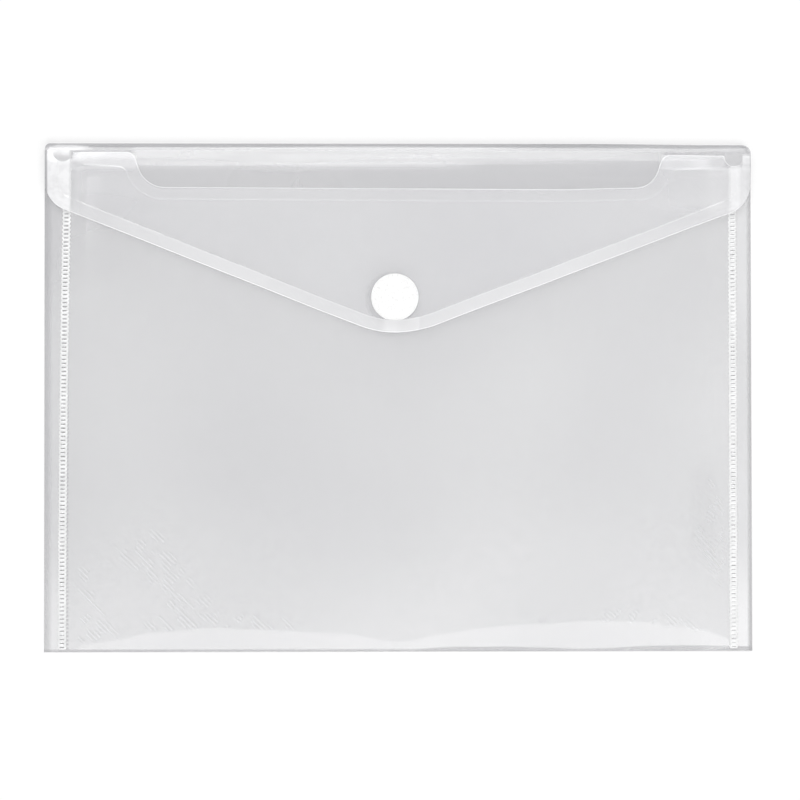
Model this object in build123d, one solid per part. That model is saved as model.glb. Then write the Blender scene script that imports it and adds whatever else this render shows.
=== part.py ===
from build123d import *
import math
import os

# A clear film document wallet that lies closed on its back.
# X is its width, Y its height with the flap's fold at +Y, and Z points up out of the front.
# The origin is the middle of the back film's underside. Lengths are in mm and angles in degrees.

# Film blank
film_thickness = 0.2
film_gap = 0.1
wallet_width = 335.0
wallet_height = 240.5
fold_end_radius = 3.0

# Pocket between the back film and the bowed front film
pocket_depth = 4.6
side_rise = 30.0
bottom_rise = 24.0
bottom_land = 1.2

# Mouth of the pocket, cut into the top edge of the front film
shoulder_drop = 4.8
shoulder_run = 42.0
shoulder_radius = 4.5
thumb_cut_drop = 21.4
thumb_cut_radius = 13.0
thumb_cut_slope = 72.0
notch_radius = 5.0

# Ladder welds down both sides
weld_margin = 6.8
weld_width = 4.0
weld_top_land = 1.4
weld_bottom_land = 1.0
weld_rail_width = 0.9
rung_pitch = 1.92
rung_width = 0.8
rung_height = 0.1

# Flap
flap_side_drop = 28.0
flap_edge_angle = 21.2
flap_corner_radius = 14.0
flap_tip_radius = 52.0
flap_fold_gap = 0.1

# Embossed hem line along the free edges, a shallow groove
hem_inset = 5.8
hem_line_width = 0.7
hem_depth_share = 0.4

# Round hook-and-loop closure
coin_diameter = 22.0
coin_thickness = 0.8
coin_above_tip = 16.5
coin_offset_x = -1.5
adhesive_inset = 0.3
adhesive_thickness = 0.1
closure_gap = 0.1

# Room that every cutting tool runs past the film
cut_overrun = 5.0

# Levels, counted up from the table
back_top = film_thickness
margin_floor = back_top + film_gap
margin_top = margin_floor + film_thickness
crest_floor = back_top + pocket_depth
crest_top = crest_floor + film_thickness
loop_floor = crest_top + adhesive_thickness
loop_top = loop_floor + coin_thickness
hook_floor = loop_top + closure_gap
hook_top = hook_floor + coin_thickness
flap_floor = hook_top + adhesive_thickness
flap_top = flap_floor + film_thickness
hem_depth = hem_depth_share * film_thickness

# Places across and along the wallet
half_width = wallet_width / 2
half_height = wallet_height / 2
fold_radius = flap_top / 2
hinge_y = half_height - fold_radius
bend_radius = margin_top / 2
bend_y = bend_radius - half_height
weld_outer_x = half_width - weld_margin
weld_inner_x = weld_outer_x - weld_width
weld_x = (weld_outer_x + weld_inner_x) / 2
crest_x = weld_inner_x - side_rise
pocket_foot_y = bend_y + bottom_land
crest_y = pocket_foot_y + bottom_rise
shoulder_y = half_height - shoulder_drop
cut_y = half_height - thumb_cut_drop
shoulder_x = half_width - shoulder_run
weld_top_y = shoulder_y - notch_radius - weld_top_land
weld_bottom_y = bend_y + weld_bottom_land
weld_span = weld_top_y - weld_bottom_y
weld_middle_y = (weld_top_y + weld_bottom_y) / 2
flap_side_y = half_height - flap_side_drop
flap_slope = math.tan(math.radians(flap_edge_angle))
flap_apex_y = flap_side_y - half_width * flap_slope
tip_lift = flap_tip_radius * (1 / math.cos(math.radians(flap_edge_angle)) - 1)
coin_y = flap_apex_y + tip_lift + coin_above_tip
coin_radius = coin_diameter / 2
adhesive_radius = coin_radius - adhesive_inset


def slab(face, floor, top):
    """A flat layer with the outline of a face, from one level up to another."""
    return Pos(0, 0, floor) * extrude(face, top - floor)


def bow(foot, crest, floor, top):
    """An arc that leaves its foot at a crease and meets the crest level and flat."""
    run = foot - crest
    rise = top - floor
    radius = (run * run + rise * rise) / (2 * rise)
    half_turn = math.atan2(rise, abs(run))
    reach = math.copysign(radius * math.sin(half_turn), run)
    sag = radius * (1 - math.cos(half_turn))
    return ThreePointArc((foot, floor), (crest + reach, top - sag), (crest, top))


def space_across(floor, top, ground):
    """The room under a film that is bowed from weld to weld, along the whole height."""
    right = bow(weld_inner_x, crest_x, floor, top)
    crest = Line((crest_x, top), (-crest_x, top))
    left = bow(-weld_inner_x, -crest_x, floor, top)
    base = Polyline(
        (-weld_inner_x, floor), (-weld_inner_x, ground), (weld_inner_x, ground), (weld_inner_x, floor)
    )
    face = make_face([right, crest, left] + list(base.edges()))
    return extrude(Plane.XZ * face, wallet_height, both=True)


def space_along(floor, top, ground):
    """The room under a film that rises from the bottom fold and runs on past the mouth."""
    foot = bow(pocket_foot_y, crest_y, floor, top)
    rest = Polyline(
        (crest_y, top),
        (half_height, top),
        (half_height, ground),
        (pocket_foot_y, ground),
        (pocket_foot_y, floor),
    )
    face = make_face([foot] + list(rest.edges()))
    return extrude(Plane.YZ * face, wallet_width, both=True)


def pocket_space(floor, top, ground):
    """The room under the bowed front film, mitred at the bottom corners."""
    return space_across(floor, top, ground) & space_along(floor, top, ground)


def mouth_line(grow):
    """The mouth's edge from right to left, with its thumb cut grown on all sides."""
    slope = math.radians(thumb_cut_slope)
    top_x = shoulder_x + grow / math.sin(slope)
    low_x = shoulder_x - (shoulder_y - cut_y) / math.tan(slope) + grow * math.tan(slope / 2)
    low_y = cut_y - grow
    radii = [shoulder_radius, thumb_cut_radius + grow, thumb_cut_radius + grow, shoulder_radius]
    return FilletPolyline(
        (half_width, shoulder_y),
        (top_x, shoulder_y),
        (low_x, low_y),
        (-low_x, low_y),
        (-top_x, shoulder_y),
        (-half_width, shoulder_y),
        radius=radii,
    )


def film_below_mouth(grow):
    """The front film's plan, from the bottom fold up to the mouth."""
    sides = Polyline(
        (-half_width, shoulder_y), (-half_width, bend_y), (half_width, bend_y), (half_width, shoulder_y)
    )
    return make_face(list(mouth_line(grow).edges()) + list(sides.edges()))


def flap_plan(inset):
    """The flap's plan, with its free edges drawn in by an inset."""
    side_x = half_width - inset
    apex_y = flap_apex_y + inset / math.cos(math.radians(flap_edge_angle))
    side_y = apex_y + side_x * flap_slope
    top_y = hinge_y - flap_fold_gap
    corner_radius = flap_corner_radius - inset
    edge = FilletPolyline(
        (side_x, top_y),
        (side_x, side_y),
        (0, apex_y),
        (-side_x, side_y),
        (-side_x, top_y),
        radius=[corner_radius, flap_tip_radius - inset, corner_radius],
    )
    return make_face(list(edge.edges()) + [Line((-side_x, top_y), (side_x, top_y))])


def fold_roll(outer_radius, middle_y, side):
    """A film rolled half round towards one side of a line that runs across the wallet."""
    ring = Circle(outer_radius) - Circle(outer_radius - film_thickness)
    half_ring = ring & Pos(side * outer_radius, 0) * Rectangle(2 * outer_radius, 2 * outer_radius)
    return extrude(Plane.YZ * Pos(middle_y, outer_radius) * half_ring, half_width, both=True)


def back_panel():
    """The flat back film, between the two folds."""
    span = hinge_y - bend_y
    plan = Pos(0, bend_y + span / 2) * Rectangle(wallet_width, span)
    return slab(plan, 0, back_top)


def bottom_fold():
    """The tight crease that joins the back film to the front film."""
    return fold_roll(bend_radius, bend_y, -1)


def top_fold():
    """The soft roll over which the back film becomes the flap, with its ends rounded."""
    edge = FilletPolyline(
        (half_width, 0),
        (half_width, half_height),
        (-half_width, half_height),
        (-half_width, 0),
        radius=[fold_end_radius, fold_end_radius],
    )
    plan = make_face(list(edge.edges()) + [Line((-half_width, 0), (half_width, 0))])
    return fold_roll(fold_radius, hinge_y, 1) & slab(plan, -cut_overrun, flap_top + cut_overrun)


def front_panel():
    """The front film: flat margins, a bowed pocket, the cut mouth and slots that the welds fill."""
    notches = [Pos(side * weld_x, shoulder_y) * Circle(notch_radius) for side in (-1, 1)]
    plan = film_below_mouth(0) - notches
    rim = slab(plan, margin_floor, margin_top)
    outside = pocket_space(margin_top, crest_top, margin_floor)
    inside = pocket_space(margin_floor, crest_floor, -cut_overrun)
    trim = slab(plan, -cut_overrun, crest_top + cut_overrun)
    film = (rim + (outside & trim)) - inside
    slot = Rectangle(weld_width, weld_span)
    for side in (-1, 1):
        film -= Pos(side * weld_x, weld_middle_y) * slab(slot, -cut_overrun, crest_top)
    return film - mouth_hem()


def mouth_hem():
    """The groove of the hem line under the thumb cut, on the level part of the front film."""
    outer_grow = hem_inset + hem_line_width / 2
    inner_grow = hem_inset - hem_line_width / 2
    band = film_below_mouth(inner_grow) - film_below_mouth(outer_grow)
    level = Pos(0, cut_y - half_height) * Rectangle(2 * crest_x, wallet_height)
    return slab(band & level, crest_top - hem_depth, crest_top + cut_overrun)


def weld_seam(side):
    """One side weld: a solid strip with a raised ladder of rails and rungs."""
    strip = Rectangle(weld_width, weld_span)
    window = Rectangle(weld_width - 2 * weld_rail_width, rung_pitch - rung_width)
    count = int(weld_span / rung_pitch)
    first_y = -(count - 1) * rung_pitch / 2
    windows = [Pos(0, first_y + index * rung_pitch) * window for index in range(count)]
    solid = slab(strip, back_top, margin_top) + slab(strip - windows, margin_top, margin_top + rung_height)
    return Pos(side * weld_x, weld_middle_y) * solid


def flap():
    """The flap: a flat film with a blunt V edge and the groove of a hem line along it."""
    film = slab(flap_plan(0), flap_floor, flap_top)
    band = flap_plan(hem_inset - hem_line_width / 2) - flap_plan(hem_inset + hem_line_width / 2)
    return film - slab(band, flap_top - hem_depth, flap_top + cut_overrun)


def coin(radius, floor, top):
    """A round layer of the closure."""
    return Pos(coin_offset_x, coin_y) * slab(Circle(radius), floor, top)


pieces = {
    "back_panel": back_panel(),
    "bottom_fold": bottom_fold(),
    "front_panel": front_panel(),
    "left_weld_seam": weld_seam(-1),
    "right_weld_seam": weld_seam(1),
    "top_fold": top_fold(),
    "flap": flap(),
    "loop_adhesive": coin(adhesive_radius, crest_top, loop_floor),
    "loop_disc": coin(coin_radius, loop_floor, loop_top),
    "hook_disc": coin(coin_radius, hook_floor, hook_top),
    "hook_adhesive": coin(adhesive_radius, hook_top, flap_floor),
}

os.makedirs("parts", exist_ok=True)
for name, piece in pieces.items():
    export_step(piece, f"parts/{name}.step")
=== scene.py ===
import math
import random

import bpy
from mathutils import Matrix, Vector, noise


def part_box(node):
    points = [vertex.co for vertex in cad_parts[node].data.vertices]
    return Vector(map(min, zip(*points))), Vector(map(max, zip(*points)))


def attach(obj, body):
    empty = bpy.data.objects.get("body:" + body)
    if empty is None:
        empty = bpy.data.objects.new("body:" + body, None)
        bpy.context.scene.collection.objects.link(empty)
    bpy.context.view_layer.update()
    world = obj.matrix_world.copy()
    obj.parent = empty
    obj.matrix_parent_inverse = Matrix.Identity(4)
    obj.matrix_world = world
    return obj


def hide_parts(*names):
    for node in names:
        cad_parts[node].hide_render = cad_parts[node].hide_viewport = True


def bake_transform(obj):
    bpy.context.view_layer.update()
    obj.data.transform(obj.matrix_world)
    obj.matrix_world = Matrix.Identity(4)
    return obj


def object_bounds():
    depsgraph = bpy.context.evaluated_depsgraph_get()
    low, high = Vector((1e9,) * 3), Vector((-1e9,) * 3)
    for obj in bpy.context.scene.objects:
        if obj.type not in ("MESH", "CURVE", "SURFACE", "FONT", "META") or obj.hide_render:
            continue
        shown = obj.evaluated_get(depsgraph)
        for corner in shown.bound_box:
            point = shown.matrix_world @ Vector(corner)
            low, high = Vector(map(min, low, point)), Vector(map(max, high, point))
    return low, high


bl_info = {
    "name": "Document wallet",
    "version": (1, 0, 0),
    "blender": (4, 5, 0),
    "location": "3D View > Sidebar > Wallet",
    "description": "Dresses a clear film document wallet around its packed construction",
    "category": "Object",
}

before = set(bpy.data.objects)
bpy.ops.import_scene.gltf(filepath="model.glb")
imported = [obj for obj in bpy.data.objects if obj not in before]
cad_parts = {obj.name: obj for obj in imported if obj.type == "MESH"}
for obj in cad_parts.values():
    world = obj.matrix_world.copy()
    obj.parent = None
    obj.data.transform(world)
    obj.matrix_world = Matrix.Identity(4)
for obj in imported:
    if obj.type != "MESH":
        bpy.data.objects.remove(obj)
cad_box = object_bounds()

MM = 0.001

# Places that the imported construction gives, in metres
back_low, back_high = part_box("back_panel")
front_low, front_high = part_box("front_panel")
flap_low, flap_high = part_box("flap")
weld_low, weld_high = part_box("right_weld_seam")
hook_low, hook_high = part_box("hook_disc")
loop_low, loop_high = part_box("loop_disc")
HALF_WIDTH = back_high.x
BEND_Y = back_low.y
HINGE_Y = back_high.y
TOP_Y = cad_box[1].y
MARGIN_FLOOR = front_low.z
CREST_TOP = front_high.z
SHOULDER_Y = front_high.y
FLAP_FLOOR = flap_low.z
FLAP_TOP = flap_high.z
FLAP_TIP_Y = flap_low.y
WELD_IN = weld_low.x
WELD_OUT = weld_high.x
WELD_X = (WELD_IN + WELD_OUT) / 2
WELD_LOW_Y = weld_low.y
WELD_TOP_Y = weld_high.y
HOOK_FLOOR = hook_low.z
HOOK_TOP = hook_high.z
LOOP_FLOOR = loop_low.z
LOOP_TOP = loop_high.z

# The closure is stuck on a little to the left and low, and is a little larger than its solid
COIN_X = (hook_low.x + hook_high.x) / 2 - 0.4 * MM
COIN_Y = (hook_low.y + hook_high.y) / 2 - 0.3 * MM
COIN_RADIUS = (hook_high.x - hook_low.x) / 2 + 0.2 * MM

# Film that is modelled past the folds and sides and then trimmed off
SPARE_FILM = 20 * MM

# Hem line of the front film: where it ends, and how much wider its band is on a shoulder
HEM_END = 149 * MM
SHOULDER_BAND = 1.2

# Middle of the rounding at the right foot of the thumb cut, and its radius in mm
CUT_BEND_X = 110.66 * MM
CUT_BEND_Y = 111.85 * MM
CUT_BEND = 13

# Slope of the front film above its steep strip, and the strip's width at places across, in mm
GENTLE_SLOPE = 0.12
FOLD_STRIP = [
    (-168, 3), (-153, 3.8), (-136, 5.2), (-117, 9), (-89, 10.9), (-60, 9.7), (-32, 8.2), (1, 3.4),
    (20, 7.4), (39, 10.2), (58, 11.9), (96, 13.3), (115, 12.6), (129, 10), (143, 8.5), (153, 6.2), (168, 5),
]

# How light the flap's hem band is painted, partly whitened film and partly painted reflection, and how far
# its cut edge runs low, at places across in mm
HEM_WHITENESS = [
    (-168, 0.4), (-150, 0.45), (-125, 0.85), (-75, 1.05), (-37, 0.8), (0, 0.9), (37, 0.95), (77, 1.0),
    (115, 0.65), (150, 0.4),
]
EDGE_DROOP = [
    (-140, 0), (-75, 0.5), (-36, 0.9), (-10, 0.8), (14, 0.1), (25, 0.05), (77, 0.5), (112, 0.75),
    (135, 0.8), (150, 1.2), (157, 1.7), (168, 1.5),
]


def length(name, description, default):
    """A length that a user may change, in metres."""
    return bpy.props.FloatProperty(
        name=name, description=description, default=default, min=0, precision=5, unit="LENGTH"
    )


def turn(name, description, degrees):
    """An angle that a user may change."""
    return bpy.props.FloatProperty(
        name=name, description=description, default=math.radians(degrees), subtype="ANGLE"
    )


def share(name, description, default):
    """A part of one that a user may change."""
    return bpy.props.FloatProperty(
        name=name, description=description, default=default, min=0, max=1, subtype="FACTOR"
    )


def colour(name, description, default):
    """A colour that a user may change."""
    return bpy.props.FloatVectorProperty(
        name=name, description=description, default=default, min=0, max=1, size=3, subtype="COLOR"
    )


class WalletSizes(bpy.types.PropertyGroup):
    """Sizes of the wallet's films, edges, welds and closure."""

    film: length("Film thickness", "Thickness of the clear film", 0.2 * MM)
    shoulder_run: length("Shoulder run", "From the side edge in to the thumb cut", 42 * MM)
    shoulder_radius: length("Shoulder radius", "Rounding where a shoulder turns down", 4.5 * MM)
    cut_drop: length("Thumb cut drop", "From the top edge down to the thumb cut", 21.4 * MM)
    cut_radius: length("Thumb cut radius", "Rounding at the foot of the thumb cut", 13 * MM)
    cut_slope: turn("Thumb cut slope", "Slope of the thumb cut's ends", 72)
    mouth_tilt: turn("Mouth tilt", "How far the cut mouth runs off level", 0.26)
    notch_radius: length("Notch radius", "Round notch above each weld", 4.8 * MM)
    notch_shift: length("Notch shift", "How far the right notch stands out from its weld", 1.0 * MM)
    flap_side_drop: length("Flap side drop", "From the top edge down to the flap's corner", 28 * MM)
    flap_edge_angle: turn("Flap edge angle", "Slope of the flap's edges", 21.2)
    flap_corner_radius: length("Flap corner radius", "Rounding of the flap's corners", 14 * MM)
    flap_tip_radius: length("Flap tip radius", "Rounding of the flap's tip", 52 * MM)
    flap_taper: length("Flap taper", "How far the flap's sides stand in from the pocket's", 0.5 * MM)
    corner_sag: length("Corner sag", "How far the flap's corners hang down", 2.0 * MM)
    fold_drop: length("Fold drop", "How far the flap dips towards its fold", 1.2 * MM)
    fold_run: length("Fold run", "Over what run the flap flattens out", 9.6 * MM)
    fold_end_radius: length("Fold end radius", "Rounding of the top right corner", 5 * MM)
    left_end_radius: length("Left end radius", "Rounding of the top left corner", 3 * MM)
    side_rise: length("Side rise", "Run over which the pocket bows up from a weld", 30 * MM)
    roll_droop: length("Roll droop", "How far the roll's right end hangs back", 0.5 * MM)
    ripple: length("Ripple", "Height of the film's gentle ripples", 0.12 * MM)
    hem_inset: length("Hem inset", "From a free edge in to its embossed hem line", 5.8 * MM)
    hem_ridge: length("Hem ridge", "Height of the embossed hem line", 0.08 * MM)
    weld_lean: length("Weld lean", "How far the left weld leans in at its top", 2.4 * MM)
    rung_pitch: length("Rung pitch", "Spacing of the weld's rungs", 1.92 * MM)
    rung_depth: length("Rung depth", "Depth of the windows between the weld's rungs", 0.14 * MM)
    pile_pitch: length("Pile pitch", "Spacing of the closure's hooks and loops", 0.9 * MM)


class WalletColours(bpy.types.PropertyGroup):
    """Colours and haze of the wallet and its stage."""

    film: colour("Film", "Haze of the clear film", (0.92, 0.92, 0.95))
    # The back film's dark tint is painted shade: it darkens the wallet as the shade beneath it would
    back: colour("Back film", "Haze of the back film in its own shade", (0.33, 0.33, 0.345))
    # The edge colour is that of the painted highlights on cut edges and hem lines, partly whitened film
    edge: colour("Edge", "Whitened cut edges and hem lines", (0.97, 0.97, 0.98))
    # The edge shade colour is that of painted dark lines, shade and shadows
    shade: colour("Edge shade", "Dark line at folds and outer edges", (0.30, 0.30, 0.31))
    weld: colour("Weld", "Melted film of the side welds", (0.95, 0.955, 0.96))
    coin: colour("Closure", "White tape of the round closure", (0.96, 0.96, 0.96))
    adhesive: colour("Adhesive", "Clear adhesive under the closure", (0.95, 0.95, 0.93))
    floor: colour("Floor", "Plain pale floor", (0.98, 0.98, 0.98))
    film_haze: share("Film haze", "How much each film hides", 0.20)
    # Back haze is mostly painted shade, like the back film's tint
    back_haze: share("Back haze", "How much the back film hides", 0.54)


class Value:
    """A number on a socket. Sums on it add Math nodes."""

    def __init__(self, recipe, socket):
        self.recipe = recipe
        self.socket = socket

    def __add__(self, other):
        return self.recipe.sum("ADD", self, other)

    def __radd__(self, other):
        return self.recipe.sum("ADD", other, self)

    def __sub__(self, other):
        return self.recipe.sum("SUBTRACT", self, other)

    def __rsub__(self, other):
        return self.recipe.sum("SUBTRACT", other, self)

    def __mul__(self, other):
        return self.recipe.sum("MULTIPLY", self, other)

    def __rmul__(self, other):
        return self.recipe.sum("MULTIPLY", other, self)

    def __pow__(self, other):
        return self.recipe.sum("POWER", self, other)

    def __neg__(self):
        return 0 - self

    def __abs__(self):
        return self.recipe.sum("ABSOLUTE", self)

    def most(self, other):
        """The larger of this number and another."""
        return self.recipe.sum("MAXIMUM", self, other)

    def wave(self, pitch):
        """A sine of this length, with the given pitch."""
        return self.recipe.sum("SINE", self * (math.tau / pitch))

    def step(self, low, high):
        """0 below low, 1 above high, smooth between. A low above the high turns it round."""
        sockets = {"Value": self, "From Min": low, "From Max": high}
        if low > high:
            sockets.update({"From Min": high, "From Max": low, "To Min": 1.0, "To Max": 0.0})
        return self.recipe.add("ShaderNodeMapRange", {"interpolation_type": "SMOOTHSTEP"}, sockets)[0]

    def rise(self, low, high):
        """A step between two lengths in mm."""
        return self.step(low * MM, high * MM)

    def limit(self):
        """This number held between 0 and 1."""
        return self.recipe.add("ShaderNodeClamp", {}, {"Value": self})[0]


class Recipe:
    """The nodes of one material or world, added one by one."""

    def __init__(self, owner):
        self.owner = owner
        owner.use_nodes = True
        self.tree = owner.node_tree
        self.tree.nodes.clear()

    def add(self, kind, settings, sockets):
        """Adds a node with its settings and the values or links of its sockets. Gives its outputs."""
        node = self.tree.nodes.new(kind)
        for key, value in settings.items():
            setattr(node, key, value)
        for key, value in sockets.items():
            if isinstance(value, Value):
                self.tree.links.new(value.socket, node.inputs[key])
            else:
                node.inputs[key].default_value = value
        return [Value(self, output) for output in node.outputs]

    def sum(self, operation, *numbers):
        return self.add("ShaderNodeMath", {"operation": operation}, dict(enumerate(numbers)))[0]

    def place(self):
        """The object's own coordinates: the vector, then x, y and z."""
        vector = self.add("ShaderNodeTexCoord", {}, {})[3]
        return [vector] + self.add("ShaderNodeSeparateXYZ", {}, {"Vector": vector})

    def mark(self, name):
        """A number painted on the mesh."""
        return self.add("ShaderNodeAttribute", {"attribute_name": name}, {})[2]

    def noise(self, vector, scale, detail=2.0):
        """Cloudy noise from 0 to 1."""
        return self.add("ShaderNodeTexNoise", {}, {"Vector": vector, "Scale": scale, "Detail": detail})[0]

    def mix(self, factor, low, high):
        """One colour turning into another."""
        sockets = {0: factor, 6: opaque(low), 7: opaque(high)}
        return self.add("ShaderNodeMix", {"data_type": "RGBA", "clamp_factor": True}, sockets)[2]

    def bump(self, height, strength, depth):
        """A normal that follows a height."""
        sockets = {"Strength": strength, "Distance": depth, "Height": height}
        return self.add("ShaderNodeBump", {}, sockets)[0]

    def seen(self):
        """1 for a ray that shows the scene, directly or in gloss or glass, 0 for one that lights it."""
        path = self.add("ShaderNodeLightPath", {}, {})
        return (path[0] + path[3] + path[6]).limit()

    def surface(self, sockets):
        """Adds the shader of a material and gives the material."""
        shader = self.add("ShaderNodeBsdfPrincipled", {}, sockets)[0]
        self.add("ShaderNodeOutputMaterial", {}, {"Surface": shader})
        return self.owner


def opaque(tint):
    """A colour with its alpha. A colour on a socket has one."""
    return tint if isinstance(tint, Value) else (*tint, 1.0)


def distance(across, along):
    """How far apart two places are, from their two distances at a right angle."""
    return (across ** 2 + along ** 2) ** 0.5


def deselect():
    bpy.ops.object.select_all(action="DESELECT")


def choose(piece):
    """Makes a piece the only one selected."""
    deselect()
    piece.select_set(True)
    bpy.context.view_layer.objects.active = piece


def edit(piece, action=None):
    """Opens a piece with its own selection, or selects or deselects all of it."""
    choose(piece)
    bpy.ops.object.mode_set(mode="EDIT")
    bpy.ops.mesh.select_mode(type="FACE")
    if action:
        bpy.ops.mesh.select_all(action=action)


def leave_edit():
    bpy.ops.object.mode_set(mode="OBJECT")


def flip(piece):
    """Turns a piece's faces round."""
    edit(piece, "SELECT")
    bpy.ops.mesh.flip_normals()
    leave_edit()


def rename(name):
    """Names the piece that was just added."""
    piece = bpy.context.object
    piece.name = name
    piece.data.name = name
    return piece


def add_piece(name, operator, **settings):
    """Adds a primitive, a lamp or a camera with nothing else selected, and names it."""
    deselect()
    operator(**settings)
    return rename(name)


def apply_modifier(piece, kind, settings):
    """Adds a modifier and applies it."""
    choose(piece)
    modifier = piece.modifiers.new("finish", kind)
    for key, value in settings.items():
        setattr(modifier, key, value)
    bpy.ops.object.modifier_apply(modifier=modifier.name)


def repeat(piece, count, step, merge=0.0):
    """Copies a piece in a row. A merging distance joins each copy to the next."""
    settings = {"count": count, "use_relative_offset": False, "use_constant_offset": True}
    settings["constant_offset_displace"] = step
    if merge:
        settings.update({"use_merge_vertices": True, "merge_threshold": merge})
    apply_modifier(piece, "ARRAY", settings)


def soften(piece, degrees=40):
    choose(piece)
    bpy.ops.object.shade_smooth_by_angle(angle=math.radians(degrees))


def dress(piece, material):
    piece.data.materials.clear()
    piece.data.materials.append(material)


def arc(centre_x, centre_y, radius, start, end, steps):
    """Points along an arc, both ends included. Angles are in degrees."""
    angles = [math.radians(start + (end - start) * step / steps) for step in range(steps + 1)]
    return [(centre_x + radius * math.cos(a), centre_y + radius * math.sin(a)) for a in angles]


def fillet(before, corner, after, radius, steps):
    """Points of the arc that rounds a corner between two straight runs."""
    back = math.atan2(before[1] - corner[1], before[0] - corner[0])
    ahead = math.atan2(after[1] - corner[1], after[0] - corner[0])
    between = (ahead - back + math.pi) % math.tau - math.pi
    middle = back + between / 2
    reach = radius / math.sin(abs(between) / 2)
    centre_x = corner[0] + reach * math.cos(middle)
    centre_y = corner[1] + reach * math.sin(middle)
    outward = math.degrees(middle) + 180
    sweep = math.copysign(180 - math.degrees(abs(between)), between)
    return arc(centre_x, centre_y, radius, outward + sweep / 2, outward - sweep / 2, steps)


def mouth_half(sizes, grow, shift):
    """Half of the mouth's edge, from outside the wallet in to its middle."""
    slope = sizes.cut_slope
    edge_y = SHOULDER_Y - SHOULDER_BAND * grow
    cut_y = TOP_Y - sizes.cut_drop
    top_x = HALF_WIDTH - sizes.shoulder_run + grow * (1 - math.cos(slope)) / math.sin(slope)
    low_x = HALF_WIDTH - sizes.shoulder_run - (SHOULDER_Y - cut_y) / math.tan(slope)
    low_x += grow * math.tan(slope / 2)
    low_y = cut_y - grow
    notch = sizes.notch_radius + grow
    lean = math.degrees(math.asin(grow / notch))
    points = [(HALF_WIDTH + SPARE_FILM - grow, edge_y)]
    points += arc(WELD_X + shift, SHOULDER_Y, notch, -lean, lean - 180, 16)
    points += fillet((WELD_X, edge_y), (top_x, edge_y), (low_x, low_y), sizes.shoulder_radius, 12)
    points += fillet((top_x, edge_y), (low_x, low_y), (0, low_y), sizes.cut_radius + grow, 16)
    return points + [(x * MM, low_y) for x in (105, 98, 90, 82, 75)]


def front_outline(sizes, grow):
    """The front film's edge, with spare film past its sides and its bottom fold."""
    right = mouth_half(sizes, grow, sizes.notch_shift)
    left = [(-x, y) for x, y in reversed(mouth_half(sizes, grow, 0))]
    tilt = math.tan(sizes.mouth_tilt)
    # Height of a slight bow by the right foot of the thumb cut, at places across, in mm
    bow = [(75, 0), (111, 0.85), (122, 0)]
    mouth = [(x, y - tilt * x + curve(bow, x / MM) * MM) for x, y in right + left]
    low = BEND_Y - SPARE_FILM + grow
    corner = HALF_WIDTH + SPARE_FILM - grow
    return mouth + [(-corner, low), (corner, low)]


def flap_outline(sizes, inset):
    """The flap's edge drawn in by an inset, with spare film past its fold."""
    slope = math.tan(sizes.flap_edge_angle)
    side_x = HALF_WIDTH - inset
    apex_y = TOP_Y - sizes.flap_side_drop - HALF_WIDTH * slope
    apex_y += inset / math.cos(sizes.flap_edge_angle)
    side_y = apex_y + side_x * slope
    top = HINGE_Y + SPARE_FILM - inset
    corner = fillet((side_x, top), (side_x, side_y), (0, apex_y), sizes.flap_corner_radius - inset, 16)
    tip = fillet((side_x, side_y), (0, apex_y), (-side_x, side_y), sizes.flap_tip_radius - inset, 24)
    right = [(side_x, top)] + corner
    left = [(-x, y) for x, y in reversed(right)]
    return right + tip + left


def paint(piece, vertices, values):
    """Writes numbers on some of a piece's vertices."""
    for name, value in values.items():
        layer = piece.data.attributes[name].data
        for index in vertices:
            layer[index].value = value


def ringed_sheet(name, sizes, outline, guards):
    """A flat film with rings that follow its edge. Each ring is an inset and the marks painted there."""
    rings = edge_rings(sizes.hem_inset, guards)
    points = outline(sizes, rings[0][0])
    circle = bpy.ops.mesh.primitive_circle_add
    sheet = add_piece(name, circle, vertices=len(points), radius=1, fill_type="NGON")
    order = list(sheet.data.polygons[0].vertices)
    for index, (x, y) in zip(order, points):
        sheet.data.vertices[index].co = (x, y, 0)
    for key in rings[0][1]:
        sheet.data.attributes.new(key, "FLOAT", "POINT")
    paint(sheet, order, rings[0][1])
    for inset, values in rings[1:]:
        edit(sheet)
        bpy.ops.mesh.inset(thickness=0.0001 * MM, use_boundary=True)
        leave_edit()
        faces = [face for face in sheet.data.polygons if face.select]
        inner = next(face for face in faces if len(face.vertices) == len(points))
        for index, (x, y) in zip(inner.vertices, outline(sizes, inset)):
            sheet.data.vertices[index].co = (x, y, 0)
        paint(sheet, inner.vertices, values)
    return sheet


def trim(sheet, place, normal):
    """Cuts away all that lies beyond a plane."""
    edit(sheet, "SELECT")
    bpy.ops.mesh.bisect(plane_co=place, plane_no=normal, clear_outer=True)
    leave_edit()


def divide(sheet, columns, rows):
    """Cuts a sheet along lines of constant x and of constant y."""
    edit(sheet)
    cuts = [((x, 0, 0), (1, 0, 0)) for x in columns] + [((0, y, 0), (0, 1, 0)) for y in rows]
    for place, normal in cuts:
        bpy.ops.mesh.select_all(action="SELECT")
        bpy.ops.mesh.bisect(plane_co=place, plane_no=normal)
    leave_edit()


def cut_slots(sheet):
    """Takes out the film where the two welds go."""
    edit(sheet, "DESELECT")
    leave_edit()
    for face in sheet.data.polygons:
        x, y = face.center.x, face.center.y
        face.select = WELD_IN < abs(x) < WELD_OUT and WELD_LOW_Y < y < WELD_TOP_Y
    edit(sheet)
    bpy.ops.mesh.delete(type="FACE")
    leave_edit()


def spread(low, high, pitch):
    """Evenly spaced places between two ends, the ends left out."""
    count = max(1, round((high - low) / pitch))
    return [low + (high - low) * step / count for step in range(1, count)]


def smooth(value, low, high):
    """0 below low, 1 above high, smooth between. A low above the high turns it round."""
    part = min(1.0, max(0.0, (value - low) / (high - low)))
    return part * part * (3 - 2 * part)


def ripple(x, y):
    """Gentle ripples of a film, from -1 to 1."""
    waves = math.sin(31 * x + 47 * y + 0.6) + math.sin(-58 * x + 23 * y + 2.1)
    waves += 0.7 * math.sin(83 * x + 14 * y + 4.0) + 0.5 * math.sin(19 * x - 96 * y + 1.3)
    return waves / 3.2


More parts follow.
